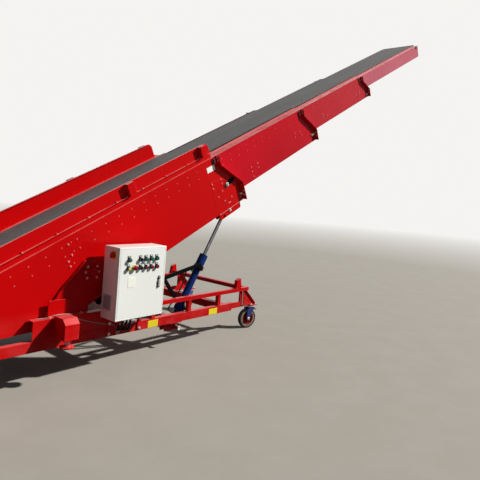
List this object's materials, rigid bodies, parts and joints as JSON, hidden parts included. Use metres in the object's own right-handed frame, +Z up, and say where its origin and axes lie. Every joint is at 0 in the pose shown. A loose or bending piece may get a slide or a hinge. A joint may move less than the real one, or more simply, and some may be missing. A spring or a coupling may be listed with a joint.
{
  "type": "mobile telescopic conveyor",
  "caption": "Mobile telescopic belt conveyor: nested boom stages run out and raised by hydraulic cylinders on a wheeled frame with a control cabinet.",
  "frame": {"origin": "on the floor, under the centre of the whole machine's bounding box, boom raised and run out", "axes": "+X the way the boom points, +Y the machine's left, +Z up"},
  "size_m": [8.6372, 1.504, 4.6988],
  "materials": {
    "frame_red": "gloss",
    "cabinet_white": "satin",
    "cylinder_blue": "gloss",
    "fork_blue": "gloss",
    "rod_chrome": "polished",
    "belt_rubber": "matte",
    "pad_plastic": "matte",
    "control_plastic": "gloss",
    "arm_black": "satin",
    "drum_steel": "brushed",
    "drive_grey": "satin",
    "tyre_black": "matte",
    "core_red": "satin"
  },
  "bodies": {
    "chassis": {"lower_rails": "frame_red", "upper_rails": "frame_red", "cross_members": "frame_red", "rear_frame_sides": "frame_red", "castor_mounts": "frame_red", "rear_wheel_brackets": "fork_blue", "stabiliser_jacks": "frame_red", "cylinder_feet": "frame_red", "power_unit": "drive_grey", "cabinet_shell": "cabinet_white", "cabinet_legs": "frame_red", "isolator_switch": "control_plastic", "cabinet_conduits": "pad_plastic"},
    "cabinet_door": {"cabinet_door": "cabinet_white", "door_controls": "control_plastic", "door_handle": "control_plastic"},
    "boom_stage_1": {"stage_1_side_panels": "frame_red", "stage_1_bed": "frame_red", "stage_1_belt": "belt_rubber", "stage_1_slide_pads": "pad_plastic", "belt_guards": "frame_red", "tail_drum": "drum_steel", "tail_bearings": "drive_grey", "drive_motor": "drive_grey", "rod_brackets": "frame_red"},
    "boom_stage_2": {"stage_2_side_panels": "frame_red", "stage_2_bed": "frame_red", "stage_2_belt": "belt_rubber", "stage_2_slide_pads": "pad_plastic"},
    "boom_stage_3": {"stage_3_side_panels": "frame_red", "stage_3_bed": "frame_red", "stage_3_belt": "belt_rubber", "stage_3_slide_pads": "pad_plastic"},
    "boom_stage_4": {"stage_4_side_panels": "frame_red", "stage_4_bed": "frame_red", "stage_4_belt": "belt_rubber", "stage_4_drums": "drum_steel"},
    "cylinder_barrel_right": {"cylinder_barrel_right": "cylinder_blue", "hose_arm_right": "arm_black"},
    "cylinder_rod_right": {"cylinder_rod_right": "rod_chrome"},
    "castor_fork_right": {"castor_fork_right": "fork_blue"},
    "front_wheel_right": {"front_tyre_right": "tyre_black", "front_wheel_core_right": "core_red"},
    "rear_wheel_right": {"rear_tyre_right": "tyre_black", "rear_wheel_core_right": "core_red"},
    "cylinder_barrel_left": {"cylinder_barrel_left": "cylinder_blue", "hose_arm_left": "arm_black"},
    "cylinder_rod_left": {"cylinder_rod_left": "rod_chrome"},
    "castor_fork_left": {"castor_fork_left": "fork_blue"},
    "front_wheel_left": {"front_tyre_left": "tyre_black", "front_wheel_core_left": "core_red"},
    "rear_wheel_left": {"rear_tyre_left": "tyre_black", "rear_wheel_core_left": "core_red"}
  },
  "joints": [
    {"name": "boom_lift", "type": "hinge", "parent": "chassis", "child": "boom_stage_1", "pos_m": [-2.86855, 0.04, 0.815], "axis": [0, -1, 0], "range_deg": [-20, 2]},
    {"name": "stage_2_slide", "type": "slide", "parent": "boom_stage_1", "child": "boom_stage_2", "axis": [0.8957, 0, 0.4446], "range_m": [-1.7, 0]},
    {"name": "stage_3_slide", "type": "slide", "parent": "boom_stage_2", "child": "boom_stage_3", "axis": [0.8957, 0, 0.4446], "range_m": [-1.7, 0]},
    {"name": "stage_4_slide", "type": "slide", "parent": "boom_stage_3", "child": "boom_stage_4", "axis": [0.8957, 0, 0.4446], "range_m": [-1.7, 0]},
    {"name": "cabinet_door_hinge", "type": "hinge", "parent": "chassis", "child": "cabinet_door", "pos_m": [-2.80655, -0.71, 0.442], "axis": [0, 0, -1], "range_deg": [0, 120]},
    {"name": "barrel_swing_right", "type": "hinge", "parent": "chassis", "child": "cylinder_barrel_right", "pos_m": [-1.89055, -0.39, 0.194], "axis": [0, -1, 0], "range_deg": [-23.95, 2.58]},
    {"name": "rod_stroke_right", "type": "slide", "parent": "cylinder_barrel_right", "child": "cylinder_rod_right", "axis": [0.5116, 0, 0.8592], "range_m": [-0.3982, 0.0416]},
    {"name": "castor_swivel_right", "type": "hinge", "parent": "chassis", "child": "castor_fork_right", "pos_m": [-0.71855, -0.465, 0.267], "axis": [0, 0, 1], "continuous": true},
    {"name": "front_wheel_spin_right", "type": "hinge", "parent": "castor_fork_right", "child": "front_wheel_right", "pos_m": [-0.75526, -0.45516, 0.112], "axis": [0.2588, 0.9659, 0], "continuous": true},
    {"name": "rear_wheel_spin_right", "type": "hinge", "parent": "chassis", "child": "rear_wheel_right", "pos_m": [-4.15855, -0.46, 0.112], "axis": [0, 1, 0], "continuous": true},
    {"name": "barrel_swing_left", "type": "hinge", "parent": "chassis", "child": "cylinder_barrel_left", "pos_m": [-1.89055, 0.47, 0.194], "axis": [0, -1, 0], "range_deg": [-23.95, 2.58]},
    {"name": "rod_stroke_left", "type": "slide", "parent": "cylinder_barrel_left", "child": "cylinder_rod_left", "axis": [0.5116, 0, 0.8592], "range_m": [-0.3982, 0.0416]},
    {"name": "castor_swivel_left", "type": "hinge", "parent": "chassis", "child": "castor_fork_left", "pos_m": [-0.71855, 0.545, 0.267], "axis": [0, 0, 1], "continuous": true},
    {"name": "front_wheel_spin_left", "type": "hinge", "parent": "castor_fork_left", "child": "front_wheel_left", "pos_m": [-0.75526, 0.53517, 0.112], "axis": [-0.2588, 0.9659, 0], "continuous": true},
    {"name": "rear_wheel_spin_left", "type": "hinge", "parent": "chassis", "child": "rear_wheel_left", "pos_m": [-4.15855, 0.54, 0.112], "axis": [0, 1, 0], "continuous": true}
  ],
  "couplings": [
    {"joint": "stage_3_slide", "follows": "stage_2_slide", "ratio": 1},
    {"joint": "stage_4_slide", "follows": "stage_2_slide", "ratio": 1},
    {"joint": "barrel_swing_right", "follows": "boom_lift", "ratio": 1.1873},
    {"joint": "rod_stroke_right", "follows": "boom_lift", "m_per_rad": 1.1349},
    {"joint": "barrel_swing_left", "follows": "boom_lift", "ratio": 1.1873},
    {"joint": "rod_stroke_left", "follows": "boom_lift", "m_per_rad": 1.1349}
  ]
}
